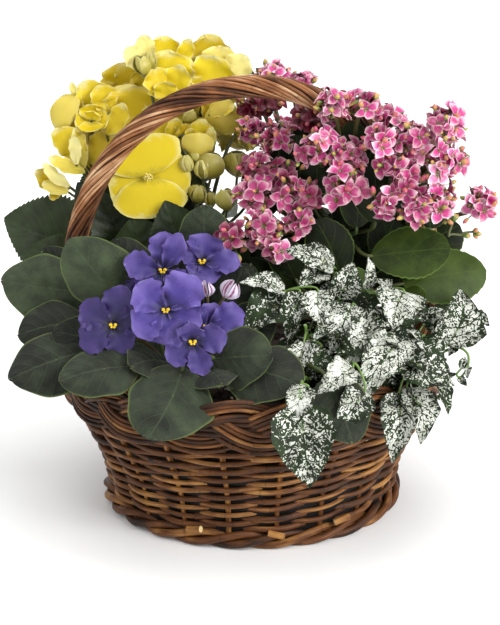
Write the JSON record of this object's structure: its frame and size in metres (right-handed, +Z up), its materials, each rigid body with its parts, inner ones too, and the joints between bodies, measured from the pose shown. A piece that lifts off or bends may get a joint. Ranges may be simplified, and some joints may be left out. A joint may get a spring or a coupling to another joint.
{
  "type": "flower basket arrangement",
  "caption": "Round woven willow basket with a fixed bow handle, planted with violet, begonia, kalanchoe and polka dot plants.",
  "frame": {"origin": "centre of the basket's flat underside, on the surface it stands on", "axes": "+Z up, the bow handle lies across X, -Y is the front, where the violet and the polka dot plant hang over the rim"},
  "size_m": [0.3801, 0.3382, 0.3596],
  "materials": {
    "willow": "matte",
    "handle_willow": "satin",
    "liner_plastic": "satin",
    "potting_soil": "matte",
    "plant_stem": "matte",
    "violet_leaf": "matte",
    "violet_petal": "matte",
    "begonia_leaf": "satin",
    "begonia_petal": "matte",
    "kalanchoe_leaf": "satin",
    "kalanchoe_petal": "matte",
    "polka_dot_leaf": "matte"
  },
  "bodies": {
    "root": {"basket_base": "willow", "basket_wall": "willow", "begonia_bloom_1": "begonia_petal", "begonia_bloom_2": "begonia_petal", "begonia_bloom_3": "begonia_petal", "begonia_bloom_4": "begonia_petal", "begonia_bloom_5": "begonia_petal", "begonia_bloom_6": "begonia_petal", "begonia_bloom_7": "begonia_petal", "begonia_buds": "begonia_petal", "begonia_leaf_1": "begonia_leaf", "begonia_leaf_2": "begonia_leaf", "begonia_leaf_3": "begonia_leaf", "begonia_leaf_4": "begonia_leaf", "begonia_leaf_5": "begonia_leaf", "begonia_stem": "plant_stem", "foot_border": "willow", "handle": "handle_willow", "kalanchoe_flowers_1": "kalanchoe_petal", "kalanchoe_flowers_2": "kalanchoe_petal", "kalanchoe_flowers_3": "kalanchoe_petal", "kalanchoe_flowers_4": "kalanchoe_petal", "kalanchoe_flowers_5": "kalanchoe_petal", "kalanchoe_flowers_6": "kalanchoe_petal", "kalanchoe_flowers_7": "kalanchoe_petal", "kalanchoe_flowers_8": "kalanchoe_petal", "kalanchoe_flowers_9": "kalanchoe_petal", "kalanchoe_leaf_1": "kalanchoe_leaf", "kalanchoe_leaf_2": "kalanchoe_leaf", "kalanchoe_leaf_3": "kalanchoe_leaf", "kalanchoe_leaf_4": "kalanchoe_leaf", "kalanchoe_stem": "plant_stem", "liner": "liner_plastic", "polka_dot_shoot_1": "polka_dot_leaf", "polka_dot_shoot_2": "polka_dot_leaf", "polka_dot_shoot_3": "polka_dot_leaf", "polka_dot_shoot_4": "polka_dot_leaf", "polka_dot_shoot_5": "polka_dot_leaf", "polka_dot_shoot_6": "polka_dot_leaf", "polka_dot_shoot_7": "polka_dot_leaf", "potting_soil": "potting_soil", "rim_border": "willow", "violet_crown": "plant_stem", "violet_flower_1": "violet_petal", "violet_flower_2": "violet_petal", "violet_flower_3": "violet_petal", "violet_flower_4": "violet_petal", "violet_flower_5": "violet_petal", "violet_flower_6": "violet_petal", "violet_leaf_1": "violet_leaf", "violet_leaf_10": "violet_leaf", "violet_leaf_2": "violet_leaf", "violet_leaf_3": "violet_leaf", "violet_leaf_4": "violet_leaf", "violet_leaf_5": "violet_leaf", "violet_leaf_6": "violet_leaf", "violet_leaf_7": "violet_leaf", "violet_leaf_8": "violet_leaf", "violet_leaf_9": "violet_leaf"}
  },
  "joints": []
}
